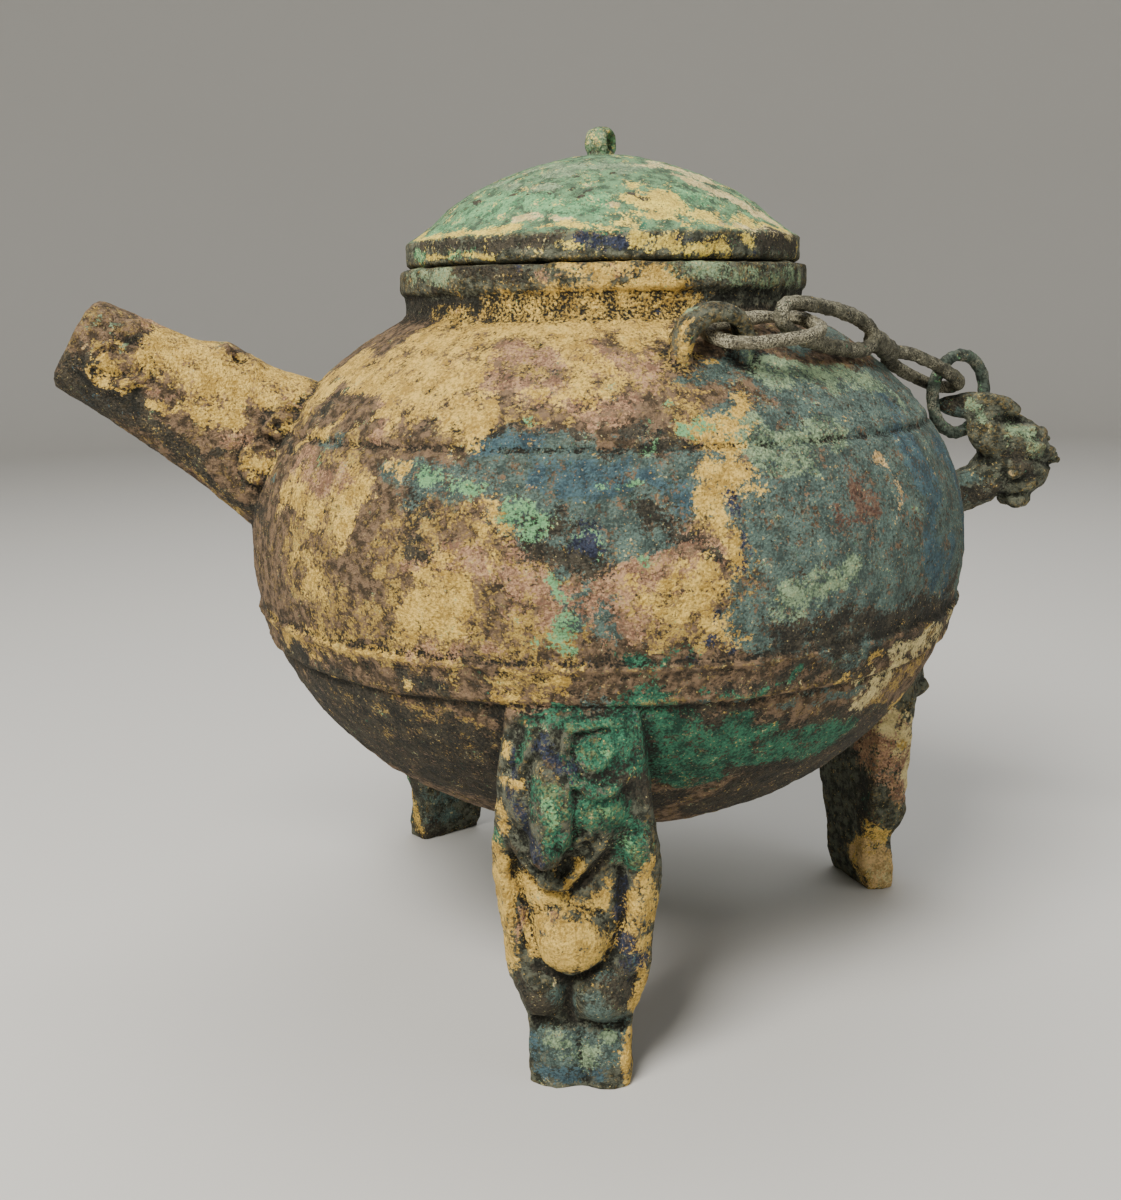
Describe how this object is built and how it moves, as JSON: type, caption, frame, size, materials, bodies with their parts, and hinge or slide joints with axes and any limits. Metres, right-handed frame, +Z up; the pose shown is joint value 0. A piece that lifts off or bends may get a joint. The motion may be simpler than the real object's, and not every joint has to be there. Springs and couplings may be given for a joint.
{
  "type": "lidded tripod ewer",
  "caption": "Lidded cast bronze ewer: hollow round body on bear-shaped legs, slanting beast-neck spout, domed lift-off lid, and a chain from a shoulder lug to a beast-head hook.",
  "frame": {"origin": "bottom centre of the box round the whole piece, on the surface that it stands on", "axes": "+Z up, -X towards the spout, +X towards the beast-head hook"},
  "size_m": [0.2918, 0.2146, 0.2375],
  "materials": {
    "vessel_bronze": "buried bronze, sandy patina in ochre, green, blue and mauve-brown",
    "lid_bronze": "buried bronze, pale mint patina with ochre patches",
    "link_a_bronze": "buried bronze, pitted dark brown with pale specks",
    "link_b_bronze": "buried bronze, pitted dark grey-brown with green traces",
    "ring_bronze": "buried bronze, grey-green with mint traces"
  },
  "bodies": {
    "root": {"vessel": "vessel_bronze", "lid": "lid_bronze", "chain_link_a": "link_a_bronze", "chain_link_b": "link_b_bronze", "chain_ring": "ring_bronze"}
  },
  "joints": []
}
